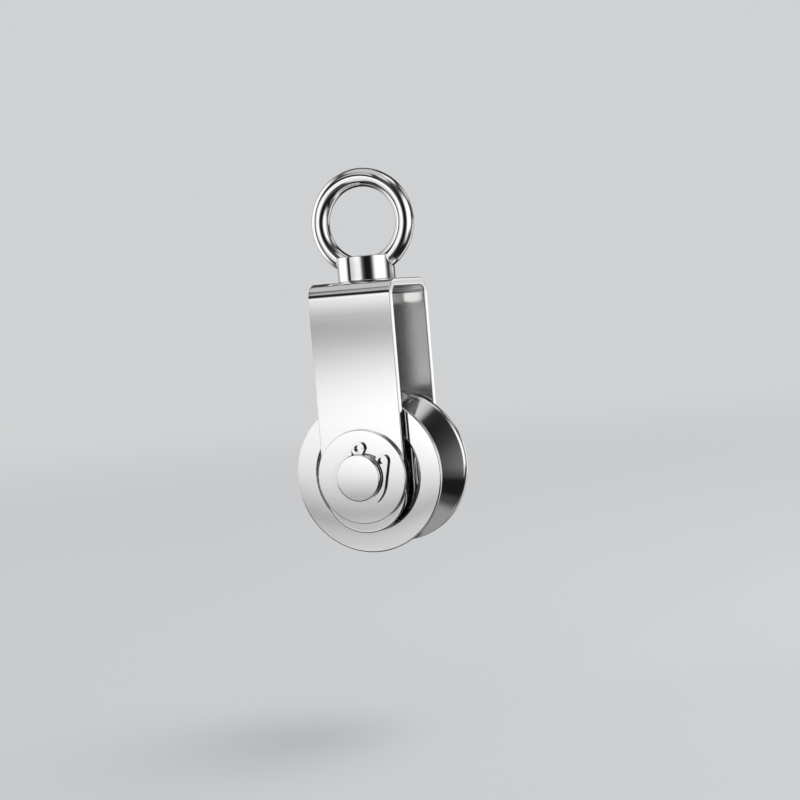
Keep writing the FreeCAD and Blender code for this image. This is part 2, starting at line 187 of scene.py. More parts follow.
card("front card", -22.5, 0.40, -0.147, 0.12, -0.084, 0.60, [
    (-0.084, 0.66), (-0.078, 0.70), (-0.068, 0.60), (-0.064, 0.46), (-0.060, 0.44), (-0.055, 0.58),
    (-0.046, 0.76), (-0.036, 0.95), (-0.022, 1.10), (-0.006, 1.17), (0.010, 1.05), (0.022, 0.88),
    (0.030, 0.70), (0.034, 0.58), (0.038, 0.49), (0.043, 0.42), (0.047, 0.39), (0.050, 0.41),
    (0.053, 0.53), (0.0565, 0.94), (0.059, WHITE), (0.0655, 1.05), (0.068, 0.86), (0.080, 0.86),
    (0.086, 1.05), (0.165, 1.05), (0.198, 0.40), (0.212, BLACK), (0.335, BLACK), (0.365, 0.55),
    (0.60, 0.55),
], (-0.13, 0.70, 0.055, 1.12))
card("right rear card", 146, 0.40, -0.107, 0.115, -0.084, 0.12, [
    (-0.084, WHITE), (0.0605, WHITE), (0.0625, 0.60), (0.069, 0.60), (0.0705, WHITE),
    (0.082, 0.95), (0.088, 0.60), (0.100, 0.22), (0.120, 0.08),
], (0.02, 0.5, 0.05, 1))

# The tent's cloth is painted in patches, each over the ones before it. A patch gives azimuth,
# elevation, half width, half height, softness and brightness, with the angles in degrees.
TENT_RADIUS = 1.4
TENT_CENTRE = 0.05
TENT_LIFT = 0.001
TENT_CLOTH = 0.06
TENT_PATCHES = (
    (0, 90, 400, 33, 0.10, 0.58),
    (22, 54, 14, 8, 0.30, 0.80),
    (75, 58, 22, 8, 0.40, 0.13),
    (118, 66, 40, 10, 0.30, 0.95),
    (166, 54, 22, 13, 0.40, 0.03),
    (-118, 10, 36, 34, 0.15, 0.46),
    (-86, 10, 27, 36, 0.22, 1.10),
    (12, 0, 9, 40, 0.60, 0.09),
    (-21, 2, 24, 17, 0.35, 0.85),
    (-14, 0, 14, 12, 0.60, 1.00),
    (-22, -22, 12, 14, 0.25, 0.75),
    (28.5, 0, 13.5, 45, 0.40, 0.010),
    (-47, -3, 5, 38, 0.40, 0.03),
    (81.5, 6, 28, 31, 0.37, WHITE),
    (105, -24, 22, 12, 0.50, 0.06),
    (60, -40, 50, 11, 0.30, 0.012),
    (148, -28, 17, 30, 0.25, 0.72),
    (170, 8, 30, 9, 0.30, 0.15),
    (203, 2, 13, 20, 0.50, 0.05),
    (128, 13, 10, 9, 0.40, 0.03),
    (141, 33, 10, 9, 0.40, 0.80),
    (162, 22, 13, 7, 0.40, 0.50),
    (176, 12, 9, 6, 0.40, 0.32),
    (175, 40, 25, 10, 0.25, 0.02),
    (205, 23, 15, 18, 0.40, 0.005),
    (110, -90, 110, 30, 0.15, 0.33),
    (-110, -75, 60, 16, 0.20, 0.03),
    (-62, -55, 40, 13, 0.30, 0.01),
    (-150, -38, 16, 27, 0.30, 0.01),
)


def patch_cover(turn, rise, patch):
    """How far a patch covers a direction: 1 in it, 0 outside it, with a soft edge."""
    azimuth, elevation, half_width, half_height, softness, _ = patch
    across = ((turn - azimuth + 180) % 360 - 180) / half_width
    upward = (rise - elevation) / half_height
    share = (1 + softness - (abs(across) ** 3 + abs(upward) ** 3) ** (1 / 3)) / (2 * softness)
    share = min(1, max(0, share))
    return share * share * (3 - 2 * share)


def tent_mesh():
    """A sphere painted with the patches, and flattened where it meets the room's floor."""
    bm = bmesh.new()
    bmesh.ops.create_uvsphere(bm, u_segments=180, v_segments=90, radius=1)
    light = bm.verts.layers.float_color.new("light")
    for vert in bm.verts:
        rise = math.degrees(math.asin(max(-1, min(1, vert.co.z))))
        turn = math.degrees(math.atan2(vert.co.x, -vert.co.y))
        brightness = TENT_CLOTH
        for patch in TENT_PATCHES:
            brightness += (patch[-1] - brightness) * patch_cover(turn, rise, patch)
        vert[light] = (brightness, brightness, brightness, 1)
        to_floor = (TENT_CENTRE - FLOOR_HEIGHT - TENT_LIFT) / max(-vert.co.z, 0.001)
        vert.co = vert.co * min(TENT_RADIUS, to_floor) + Vector((0, 0, TENT_CENTRE))
    return bm


tent_paint = bpy.data.materials.new("tent")
tent_paint.use_nodes = True
tent_paint.node_tree.nodes.clear()
tent_light = tent_paint.node_tree.nodes.new("ShaderNodeAttribute")
tent_light.attribute_name = "light"
tent_glow = tent_paint.node_tree.nodes.new("ShaderNodeEmission")
tent_output = tent_paint.node_tree.nodes.new("ShaderNodeOutputMaterial")
tent_paint.node_tree.links.new(tent_light.outputs["Color"], tent_glow.inputs["Color"])
tent_paint.node_tree.links.new(tent_glow.outputs["Emission"], tent_output.inputs["Surface"])
tent_paint.cycles.emission_sampling = "NONE"
tent = placed("tent", tent_mesh(), [tent_paint])
mirrored_only(tent)

overhead_data = bpy.data.lights.new("overhead softbox", "AREA")
overhead_data.shape = "DISK"
overhead_data.size = 0.9
overhead_data.energy = 6
overhead = bpy.data.objects.new("overhead softbox", overhead_data)
overhead.location = (0.45, 0.30, 1.2)
overhead.rotation_euler = overhead.location.to_track_quat("Z", "Y").to_euler()
overhead.visible_glossy = False
bpy.context.scene.collection.objects.link(overhead)

# Sheave
# Turned from stainless bar: a deep groove with a round root and straight flanks, two thin
# flanges with broken edges, a shallow recess in each face, and seats for two ball bearings.
MM = 0.001
SHEAVE_RADIUS = 25.0 * MM
SHEAVE_HALF_WIDTH = 12.65 * MM
RIM_THICKNESS = 2.0 * MM
RIM_EDGE = 0.4 * MM
GROOVE_ARC_RADIUS = 6.6 * MM
GROOVE_ARC_CENTRE = 20.64 * MM
GROOVE_ARC_END = 123.1
RECESS_RADIUS = 18.0 * MM
RECESS_DEPTH = 1.2 * MM
RECESS_EDGE = 0.3 * MM
RECESS_FILLET = 0.85 * MM
GROOVE_LIP = 0.9 * MM
BEARING_SEAT = 12.04 * MM
BEARING_SEAT_EDGE = 0.2 * MM
BEARING_INNER_FACE = 6.25 * MM
LAND_BORE = 11.0 * MM
LAND_EDGE = 0.1 * MM


def smooth(piece):
    """Shade a piece smooth, and keep its flat faces flat up to their rounded edges."""
    piece.data.shade_smooth()
    piece.data.set_sharp_from_angle(angle=math.radians(42))
    weighting = piece.modifiers.new("flat faces", "WEIGHTED_NORMAL")
    weighting.keep_sharp = True
    weighting.weight = 100


def turned(name, outline, finishes, steps, axis="Y", segments=3):
    """Turn a closed outline about the axle's line or the swivel's.

    Its corners are (radius, place along the line, how far the corner is rounded)."""
    bm = bmesh.new()
    along = Vector((0, 1, 0)) if axis == "Y" else Vector((0, 0, 1))
    corners = [bm.verts.new(Vector((radius, 0, 0)) + along * place)
               for radius, place, _ in outline]
    bm.faces.new(corners)
    rounded = {}
    for corner, (_, _, rounding) in zip(corners, outline):
        if rounding > 0:
            rounded.setdefault(rounding, []).append(corner)
    for rounding, group in rounded.items():
        bmesh.ops.bevel(bm, geom=group, offset=rounding, offset_type="OFFSET", affect="VERTICES",
                        segments=segments, profile=0.5, material=-1)
    bmesh.ops.delete(bm, geom=bm.faces[:], context="FACES_ONLY")
    on_line = [edge for edge in bm.edges if all(abs(vert.co.x) < 1e-7 for vert in edge.verts)]
    bmesh.ops.delete(bm, geom=on_line, context="EDGES")
    bmesh.ops.spin(bm, geom=bm.verts[:] + bm.edges[:], cent=(0, 0, 0), axis=along,
                   angle=math.radians(360), steps=steps, use_merge=True)
    bmesh.ops.remove_doubles(bm, verts=bm.verts, dist=1e-7)
    bmesh.ops.recalc_face_normals(bm, faces=bm.faces)
    piece = placed(name, bm, finishes)
    smooth(piece)
    return piece


def steel(name, colour, roughness):
    """A steel finish of one colour, ready for its grain."""
    finish = bpy.data.materials.new(name)
    finish.use_nodes = True
    shader = finish.node_tree.nodes["Principled BSDF"]
    shader.inputs["Base Color"].default_value = (*colour, 1)
    shader.inputs["Metallic"].default_value = 1
    shader.inputs["Roughness"].default_value = roughness
    return finish


def add_grain(finish, pattern, low, high, depth):
    """Let a pattern from 0 to 1 vary a finish's roughness, and raise it by its depth in metres."""
    nodes = finish.node_tree.nodes
    links = finish.node_tree.links
    shader = nodes["Principled BSDF"]
    spread = nodes.new("ShaderNodeMapRange")
    spread.inputs["To Min"].default_value = low
    spread.inputs["To Max"].default_value = high
    links.new(pattern, spread.inputs["Value"])
    links.new(spread.outputs["Result"], shader.inputs["Roughness"])
    if depth > 0:
        bump = nodes.new("ShaderNodeBump")
        bump.inputs["Strength"].default_value = 1
        bump.inputs["Distance"].default_value = depth
        links.new(pattern, bump.inputs["Height"])
        links.new(bump.outputs["Normal"], shader.inputs["Normal"])


def noise(finish, scale, stretch=(1, 1, 1)):
    """Noise in the piece's own space, stretched along its axes."""
    nodes = finish.node_tree.nodes
    links = finish.node_tree.links
    places = nodes.new("ShaderNodeTexCoord")
    mapping = nodes.new("ShaderNodeMapping")
    mapping.inputs["Scale"].default_value = stretch
    texture = nodes.new("ShaderNodeTexNoise")
    texture.inputs["Scale"].default_value = scale
    texture.inputs["Detail"].default_value = 3
    links.new(places.outputs["Object"], mapping.inputs["Vector"])
    links.new(mapping.outputs["Vector"], texture.inputs["Vector"])
    return texture.outputs["Fac"]


def turning_marks(finish, pitch, across=(1, 0, 1)):
    """Fine rings round the line that a piece was turned on, seen on its flat faces."""
    nodes = finish.node_tree.nodes
    links = finish.node_tree.links
    places = nodes.new("ShaderNodeTexCoord")
    flatten = nodes.new("ShaderNodeVectorMath")
    flatten.operation = "MULTIPLY"
    flatten.inputs[1].default_value = across
    radius = nodes.new("ShaderNodeVectorMath")
    radius.operation = "LENGTH"
    texture = nodes.new("ShaderNodeTexNoise")
    texture.noise_dimensions = "1D"
    texture.inputs["Scale"].default_value = 1 / pitch
    texture.inputs["Detail"].default_value = 2
    links.new(places.outputs["Object"], flatten.inputs[0])
    links.new(flatten.outputs["Vector"], radius.inputs[0])
    links.new(radius.outputs["Value"], texture.inputs["W"])
    return texture.outputs["Fac"]


def groove_arc(steps):
    """The root of the groove, from its front flank to its rear one."""
    ends = math.radians(GROOVE_ARC_END)
    full = math.radians(360) - 2 * ends
    corners = []
    for step in range(steps + 1):
        angle = math.radians(180) + full / 2 - full * step / steps
        corners.append((GROOVE_ARC_CENTRE + GROOVE_ARC_RADIUS * math.cos(angle),
                        GROOVE_ARC_RADIUS * math.sin(angle), 0))
    return corners


sheave_steel = steel("turned and polished sheave", (0.86, 0.86, 0.855), 0.08)
add_grain(sheave_steel, turning_marks(sheave_steel, 0.12 * MM), 0.05, 0.11, 0.00002 * MM)
mouth = SHEAVE_HALF_WIDTH - RIM_THICKNESS
recess_floor = SHEAVE_HALF_WIDTH - RECESS_DEPTH
front_half = [
    (LAND_BORE, -BEARING_INNER_FACE, LAND_EDGE),
    (BEARING_SEAT, -BEARING_INNER_FACE, 0),
    (BEARING_SEAT, -recess_floor, BEARING_SEAT_EDGE),
    (RECESS_RADIUS, -recess_floor, RECESS_FILLET),
    (RECESS_RADIUS, -SHEAVE_HALF_WIDTH, RECESS_EDGE),
    (SHEAVE_RADIUS, -SHEAVE_HALF_WIDTH, RIM_EDGE),
    (SHEAVE_RADIUS, -mouth, GROOVE_LIP),
]
rear_half = [(radius, -place, rounding) for radius, place, rounding in reversed(front_half)]
sheave = turned("sheave_body", front_half + groove_arc(28) + rear_half, [sheave_steel], steps=224)
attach(sheave, "sheave")
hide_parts("sheave")

# Axle
# A ground stainless pin. It stands proud of both legs, with its ends chamfered and polished,
# and a groove near each end holds a retaining ring.
AXLE_RADIUS = 7.5 * MM
AXLE_END = 20.7 * MM
AXLE_CHAMFER = 0.45 * MM
AXLE_GROOVE_RADIUS = 7.15 * MM
AXLE_GROOVE_START = 17.65 * MM
AXLE_GROOVE_END = 18.95 * MM
AXLE_GROOVE_EDGE = 0.05 * MM

axle_steel = steel("ground axle", (0.88, 0.88, 0.875), 0.06)
add_grain(axle_steel, turning_marks(axle_steel, 0.1 * MM), 0.04, 0.09, 0.00001 * MM)
front_end = [
    (0, -AXLE_END, 0),
    (AXLE_RADIUS, -AXLE_END, AXLE_CHAMFER),
    (AXLE_RADIUS, -AXLE_GROOVE_END, AXLE_GROOVE_EDGE),
    (AXLE_GROOVE_RADIUS, -AXLE_GROOVE_END, 0),
    (AXLE_GROOVE_RADIUS, -AXLE_GROOVE_START, 0),
    (AXLE_RADIUS, -AXLE_GROOVE_START, AXLE_GROOVE_EDGE),
]
rear_end = [(radius, -place, rounding) for radius, place, rounding in reversed(front_end)]
axle = turned("axle_pin", front_end + rear_end, [axle_steel], steps=128)
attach(axle, "bracket")
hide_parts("axle")

# Bracket
# One strip of polished stainless sheet, bent twice to a U. Its legs end round below the axle, and
# its cut edges are tumbled round. Each leg has a hole for the axle, and the crown one for the eye.
SHEET_THICKNESS = 2.4 * MM
LEG_HALF_WIDTH = 14.2 * MM
LEG_OUTER_FACE = 16.2 * MM
LEG_TAIL = 4.0 * MM
BEND_OUTER_RADIUS = 5.3 * MM
BEND_LINE_Y = 10.9 * MM
BEND_LINE_Z = 56.5 * MM
CROWN_TOP = 61.8 * MM
AXLE_HOLE_RADIUS = 7.54 * MM
SWIVEL_HOLE_RADIUS = 4.08 * MM
SHEET_EDGE_RADIUS = 0.3 * MM
EDGE_BAND = 0.7 * MM


def sheet_with_hole(bm, outline_edges, hole_edges):
    """Fill a flat part of the sheet between its outline and its hole."""
    bmesh.ops.triangle_fill(bm, use_beauty=True, edges=outline_edges + hole_edges)


def hole(bm, radius, segments, place, turn):
    """The edges of a round hole, still without a face."""
    made = bmesh.ops.create_circle(bm, radius=radius, segments=segments,
                                   matrix=Matrix.Translation(place) @ turn)
    return list({edge for vert in made["verts"] for edge in vert.link_edges})


def bracket_skin():
    """The outside of the bent strip, without its thickness."""
    bm = bmesh.new()
    front = -LEG_OUTER_FACE
    round_start = bm.verts.new((LEG_HALF_WIDTH, front, -LEG_TAIL))
    spun = bmesh.ops.spin(bm, geom=[round_start], cent=(0, front, -LEG_TAIL), axis=(0, 1, 0),
                          angle=math.radians(180), steps=56)
    round_end = [item for item in spun["geom_last"] if isinstance(item, bmesh.types.BMVert)][0]
    top_right = bm.verts.new((LEG_HALF_WIDTH, front, BEND_LINE_Z))
    top_left = bm.verts.new((-LEG_HALF_WIDTH, front, BEND_LINE_Z))
    bm.edges.new((round_start, top_right))
    top_edge = bm.edges.new((top_right, top_left))
    bm.edges.new((top_left, round_end))
    outline = bm.edges[:]
    upright = Matrix.Rotation(math.radians(90), 4, "X")
    sheet_with_hole(bm, outline, hole(bm, AXLE_HOLE_RADIUS, 72, (0, front, 0), upright))
    bmesh.ops.spin(bm, geom=[top_edge, top_right, top_left], cent=(0, -BEND_LINE_Y, BEND_LINE_Z),
                   axis=(1, 0, 0), angle=math.radians(-90), steps=18)
    bmesh.ops.mirror(bm, geom=bm.verts[:] + bm.edges[:] + bm.faces[:], axis="Y", merge_dist=1e-7)
    corners = [bm.verts.new((x, y, CROWN_TOP)) for x, y in (
        (LEG_HALF_WIDTH, -BEND_LINE_Y), (LEG_HALF_WIDTH, BEND_LINE_Y),
        (-LEG_HALF_WIDTH, BEND_LINE_Y), (-LEG_HALF_WIDTH, -BEND_LINE_Y))]
    crown = [bm.edges.new((corners[n], corners[(n + 1) % 4])) for n in range(4)]
    swivel_hole = hole(bm, SWIVEL_HOLE_RADIUS, 48, (0, 0, CROWN_TOP), Matrix.Identity(4))
    sheet_with_hole(bm, crown, swivel_hole)
    bmesh.ops.remove_doubles(bm, verts=bm.verts, dist=1e-6)
    bmesh.ops.recalc_face_normals(bm, faces=bm.faces)
    bm.normal_update()
    crown_face = max(bm.faces, key=lambda face: face.calc_center_median().z)
    if crown_face.normal.z < 0:
        bmesh.ops.reverse_faces(bm, faces=bm.faces)
    return bm


def bracket_body():
    """The bent strip with its thickness and its rounded edges. Outside, inside and cut edges
    take the first, second and third finish."""
    bm = bracket_skin()
    bmesh.ops.inset_region(bm, faces=bm.faces[:], thickness=EDGE_BAND, use_boundary=True,
                           use_even_offset=True)
    bmesh.ops.solidify(bm, geom=bm.faces[:], thickness=SHEET_THICKNESS)
    bm.normal_update()
    rim = [edge for edge in bm.edges
           if edge.is_manifold and edge.calc_face_angle() > math.radians(60)]
    bmesh.ops.bevel(bm, geom=rim, offset=SHEET_EDGE_RADIUS, offset_type="OFFSET", affect="EDGES",
                    segments=4, profile=0.5, material=-1, clamp_overlap=True)
    bm.normal_update()
    for face in bm.faces:
        middle = face.calc_center_median()
        outward = Vector((0, middle.y, max(0, middle.z - BEND_LINE_Z))).normalized()
        facing = face.normal.dot(outward)
        face.material_index = 0 if facing > 0.3 else 1 if facing < -0.3 else 2
    return bm


sheet_face = steel("polished sheet", (0.87, 0.87, 0.865), 0.09)
add_grain(sheet_face, noise(sheet_face, 700, (0.03, 1, 1)), 0.07, 0.12, 0.00002 * MM)
sheet_inside = steel("satin inside of the sheet", (0.83, 0.83, 0.825), 0.15)
add_grain(sheet_inside, noise(sheet_inside, 700, (1, 1, 0.05)), 0.12, 0.18, 0.0001 * MM)
sheet_edge = steel("tumbled cut edge", (0.90, 0.90, 0.895), 0.10)
add_grain(sheet_edge, noise(sheet_edge, 1500, (0.05, 1, 0.05)), 0.06, 0.14, 0.00005 * MM)
bracket = placed("bracket_body", bracket_body(), [sheet_face, sheet_inside, sheet_edge])
smooth(bracket)
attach(bracket, "bracket")
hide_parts("bracket")

# Washers on the axle
# Turned stainless washers between the legs and the retaining rings, polished like the legs.
WASHER_BORE = 7.54 * MM
WASHER_RADIUS = 15.0 * MM
WASHER_INNER_FACE = 16.2 * MM
WASHER_OUTER_FACE = 17.7 * MM
WASHER_EDGE = 0.25 * MM

washer_steel = steel("polished washer", (0.87, 0.87, 0.865), 0.08)
add_grain(washer_steel, turning_marks(washer_steel, 0.15 * MM), 0.05, 0.11, 0.00002 * MM)
for place, side in (("front", -1), ("rear", 1)):
    washer = turned(place + "_washer_ring", [
        (WASHER_BORE, side * WASHER_INNER_FACE, WASHER_EDGE),
        (WASHER_RADIUS, side * WASHER_INNER_FACE, WASHER_EDGE),
        (WASHER_RADIUS, side * WASHER_OUTER_FACE, WASHER_EDGE),
        (WASHER_BORE, side * WASHER_OUTER_FACE, WASHER_EDGE),
    ], [washer_steel], steps=160)
    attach(washer, "bracket")
    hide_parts(place + "_washer")

# Retaining rings
# Spring steel rings, stamped and tumbled, with a holed ear on each side of the gap. The ring
# is thickest opposite the gap, and it sits in the axle's groove against the washer.
CIRCLIP_THICKNESS = 1.2 * MM
CIRCLIP_BODY_RADIUS = 9.1 * MM
CIRCLIP_OFFSET = 1.2 * MM
CIRCLIP_BORE = 7.15 * MM
LUG_CENTRE = 9.1 * MM
LUG_RADIUS = 2.2 * MM
LUG_ANGLE = 29
LUG_HOLE_RADIUS = 1.2 * MM
GAP_WIDTH = 4.7 * MM
STAMPED_EDGE = 0.24 * MM
CIRCLIP_MIDDLE = 18.3 * MM
FRONT_GAP_TURN = 61
REAR_GAP_TURN = 250


def plate(name, radius, centre, thickness, segments):
    """A round blank with its faces across the axle."""
    bm = bmesh.new()
    place = Matrix.Translation((centre[0], 0, centre[1]))
    across = Matrix.Rotation(math.radians(90), 4, "X")
    bmesh.ops.create_cone(bm, cap_ends=True, radius1=radius, radius2=radius, depth=thickness,
                          segments=segments, matrix=place @ across)
    bmesh.ops.recalc_face_normals(bm, faces=bm.faces)
    return placed(name, bm, [])


def prism(name, corners, thickness):
    """A straight-sided blank with its faces across the axle."""
    bm = bmesh.new()
    face = bm.faces.new([bm.verts.new((x, -thickness / 2, z)) for x, z in corners])
    grown = bmesh.ops.extrude_face_region(bm, geom=[face])
    far = [item for item in grown["geom"] if isinstance(item, bmesh.types.BMVert)]
    bmesh.ops.translate(bm, vec=(0, thickness, 0), verts=far)
    bmesh.ops.recalc_face_normals(bm, faces=bm.faces)
    return placed(name, bm, [])


def combine(piece, other, operation):
    """Join two solids, cut one with the other or keep what they share, and drop the other."""
    step = piece.modifiers.new(operation.lower(), "BOOLEAN")
    step.operation = operation
    step.solver = "EXACT"
    step.object = other
    evaluated = piece.evaluated_get(bpy.context.evaluated_depsgraph_get())
    result = bpy.data.meshes.new_from_object(evaluated)
    piece.modifiers.clear()
    piece.data = result
    bpy.data.objects.remove(other)


def around(radius, degrees):
    """A place (x, z) across the axle, at a radius and an angle from +X towards +Z."""
    angle = math.radians(degrees)
    return radius * math.cos(angle), radius * math.sin(angle)


def shoulder(turn, side, ear):
    """The straight flank between the ring's body and the round end of one ear."""
    body = around(-CIRCLIP_OFFSET, turn)
    span = (ear[0] - body[0], ear[1] - body[1])
    lean = math.acos((CIRCLIP_BODY_RADIUS - LUG_RADIUS) / math.hypot(*span))
    outward = math.degrees(math.atan2(span[1], span[0]) + side * lean)
    ear_out = around(LUG_RADIUS, outward)
    body_out = around(CIRCLIP_BODY_RADIUS, outward)
    return prism("shoulder", [
        body,
        ear,
        (ear[0] + ear_out[0], ear[1] + ear_out[1]),
        (body[0] + body_out[0], body[1] + body_out[1]),
    ], CIRCLIP_THICKNESS)


def retaining_ring(name, turn, middle_y):
    """A ring with its gap turned to an angle, and its middle at a place along the axle."""
    cut = 3 * CIRCLIP_THICKNESS
    ring = plate(name, CIRCLIP_BODY_RADIUS, around(-CIRCLIP_OFFSET, turn), CIRCLIP_THICKNESS, 128)
    for side in (-1, 1):
        ear = around(LUG_CENTRE, turn + side * LUG_ANGLE)
        sideways = around(LUG_RADIUS, turn + side * LUG_ANGLE + 90)
        root = prism("ear root", [
            (sideways[0], sideways[1]),
            (ear[0] + sideways[0], ear[1] + sideways[1]),
            (ear[0] - sideways[0], ear[1] - sideways[1]),
            (-sideways[0], -sideways[1]),
        ], CIRCLIP_THICKNESS)
        combine(ring, root, "UNION")
        combine(ring, plate("ear", LUG_RADIUS, ear, CIRCLIP_THICKNESS, 48), "UNION")
        combine(ring, shoulder(turn, side, ear), "UNION")
    combine(ring, plate("bore", CIRCLIP_BORE, (0, 0), cut, 128), "DIFFERENCE")
    far = around(2 * CIRCLIP_BODY_RADIUS, turn)
    beside = around(GAP_WIDTH / 2, turn + 90)
    combine(ring, prism("gap", [
        (beside[0], beside[1]),
        (far[0] + beside[0], far[1] + beside[1]),
        (far[0] - beside[0], far[1] - beside[1]),
        (-beside[0], -beside[1]),
    ], cut), "DIFFERENCE")
    for side in (-1, 1):
        ear = around(LUG_CENTRE, turn + side * LUG_ANGLE)
        combine(ring, plate("ear hole", LUG_HOLE_RADIUS, ear, cut, 32), "DIFFERENCE")
    for vert in ring.data.vertices:
        vert.co.y += middle_y
    edges = ring.modifiers.new("tumbled edges", "BEVEL")
    edges.limit_method = "ANGLE"
    edges.angle_limit = math.radians(40)
    edges.width = STAMPED_EDGE
    edges.segments = 2
    smooth(ring)
    return ring


spring_steel = steel("tumbled spring steel", (0.84, 0.84, 0.835), 0.10)
add_grain(spring_steel, noise(spring_steel, 1500), 0.07, 0.13, 0.00005 * MM)
for place, turn, side in (("front", FRONT_GAP_TURN, -1), ("rear", REAR_GAP_TURN, 1)):
    ring = retaining_ring(place + "_retaining_ring", turn, side * CIRCLIP_MIDDLE)
    ring.data.materials.append(spring_steel)
    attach(ring, "bracket")
    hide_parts(place + "_circlip")

# Swivel eye
# Forged in one piece and mirror polished: a round ring on a turned collar. Its shank goes
# down through the crown, and carries an M8 thread for the lock nut.
RING_RADIUS = 14.5 * MM
RING_WIRE_RADIUS = 3.0 * MM
RING_CENTRE = 80.8 * MM
EYE_TURN = 3
COLLAR_RADIUS = 9.3 * MM
COLLAR_BOTTOM = 61.9 * MM
COLLAR_TOP = 69.9 * MM
COLLAR_EDGE = 0.35 * MM
SHANK_RADIUS = 4.0 * MM
SHANK_END = 53.55 * MM
SHANK_CHAMFER = 0.2 * MM
THREAD_PITCH = 1.25 * MM
THREAD_DEPTH = 0.7 * MM
THREAD_TOP = 58.0 * MM
THREAD_SLOPE = 1.45
THREAD_CREST = 0.15


def eye_ring():
    """The round ring on its own, before it grows into the collar."""
    bm = bmesh.new()
    section = Matrix.Translation((RING_RADIUS, 0, 0))
    made = bmesh.ops.create_circle(bm, radius=RING_WIRE_RADIUS, segments=96, matrix=section)
    wire = list({edge for vert in made["verts"] for edge in vert.link_edges})
    bmesh.ops.spin(bm, geom=made["verts"] + wire, cent=(0, 0, 0), axis=(0, 1, 0),
                   angle=math.radians(360), steps=320, use_merge=True)
    bmesh.ops.remove_doubles(bm, verts=bm.verts, dist=1e-7)
    bmesh.ops.recalc_face_normals(bm, faces=bm.faces)
    turn = Matrix.Rotation(math.radians(EYE_TURN), 3, "Z")
    bmesh.ops.rotate(bm, cent=(0, 0, 0), matrix=turn, verts=bm.verts)
    bmesh.ops.translate(bm, vec=(0, 0, RING_CENTRE), verts=bm.verts)
    return bm


mirror_polish = steel("mirror polish", (0.90, 0.90, 0.895), 0.03)
add_grain(mirror_polish, noise(mirror_polish, 900), 0.02, 0.045, 0.0)
eye = placed("eye_and_collar", eye_ring(), [mirror_polish])
collar = turned("collar", [
    (0, THREAD_TOP, 0),
    (SHANK_RADIUS, THREAD_TOP, 0),
    (SHANK_RADIUS, COLLAR_BOTTOM, 0),
    (COLLAR_RADIUS, COLLAR_BOTTOM, COLLAR_EDGE),
    (COLLAR_RADIUS, COLLAR_TOP, COLLAR_EDGE),
    (0, COLLAR_TOP, 0),
], [mirror_polish], steps=160, axis="Z", segments=4)
combine(eye, collar, "UNION")
smooth(eye)
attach(eye, "eye")
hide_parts("swivel_eye")


def threaded_shank():
    """The shank's lower end, cut with one turn of thread for each pitch of its length."""
    bm = bmesh.new()
    length = THREAD_TOP - SHANK_END
    bmesh.ops.create_cone(bm, cap_ends=True, segments=80, radius1=SHANK_RADIUS,
                          radius2=SHANK_RADIUS, depth=length,
                          matrix=Matrix.Translation((0, 0, SHANK_END + length / 2)))
    upright = [edge for edge in bm.edges
               if abs(edge.verts[0].co.z - edge.verts[1].co.z) > length / 2]
    bmesh.ops.subdivide_edges(bm, edges=upright, cuts=48, use_grid_fill=True)
    for vert in bm.verts:
        angle = math.atan2(vert.co.y, vert.co.x) / (2 * math.pi)
        share = (vert.co.z / THREAD_PITCH - angle) % 1
        flank = THREAD_SLOPE * (1 - abs(2 * share - 1)) - THREAD_CREST
        depth = THREAD_DEPTH * min(1, max(0, flank))
        chamfer = max(0, SHANK_END + SHANK_CHAMFER - vert.co.z)
        radius = SHANK_RADIUS - max(depth, chamfer)
        vert.co.x *= radius / SHANK_RADIUS
        vert.co.y *= radius / SHANK_RADIUS
    return bm


thread_steel = steel("cut thread", (0.80, 0.80, 0.79), 0.16)
add_grain(thread_steel, noise(thread_steel, 1500, (1, 1, 4)), 0.12, 0.22, 0.0003 * MM)
thread = placed("shank_thread", threaded_shank(), [thread_steel])
thread.data.shade_smooth()
thread.data.set_sharp_from_angle(angle=math.radians(50))
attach(thread, "eye")
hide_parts("swivel_eye")

# Thrust washer and lock nut
# A turned washer bears on the crown's underside, and a thin stainless nut holds it on the shank.
THRUST_WASHER_RADIUS = 8.0 * MM
THRUST_WASHER_BOTTOM = 57.75 * MM
THRUST_WASHER_TOP = 59.35 * MM
THRUST_WASHER_EDGE = 0.25 * MM
NUT_HALF_FLATS = 6.5 * MM
NUT_BOTTOM = 53.75 * MM
NUT_BORE = 4.04 * MM
NUT_EDGE = 0.1 * MM

thrust_steel = steel("turned thrust washer", (0.80, 0.80, 0.79), 0.14)
add_grain(thrust_steel, turning_marks(thrust_steel, 0.12 * MM, (1, 1, 0)), 0.10, 0.20, 0.0001 * MM)
thrust_washer = turned("thrust_ring", [
    (NUT_BORE, THRUST_WASHER_BOTTOM, NUT_EDGE),
    (THRUST_WASHER_RADIUS, THRUST_WASHER_BOTTOM, THRUST_WASHER_EDGE),
    (THRUST_WASHER_RADIUS, THRUST_WASHER_TOP, THRUST_WASHER_EDGE),
    (NUT_BORE, THRUST_WASHER_TOP, NUT_EDGE),
], [thrust_steel], steps=96, axis="Z")
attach(thrust_washer, "eye")
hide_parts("thrust_washer")

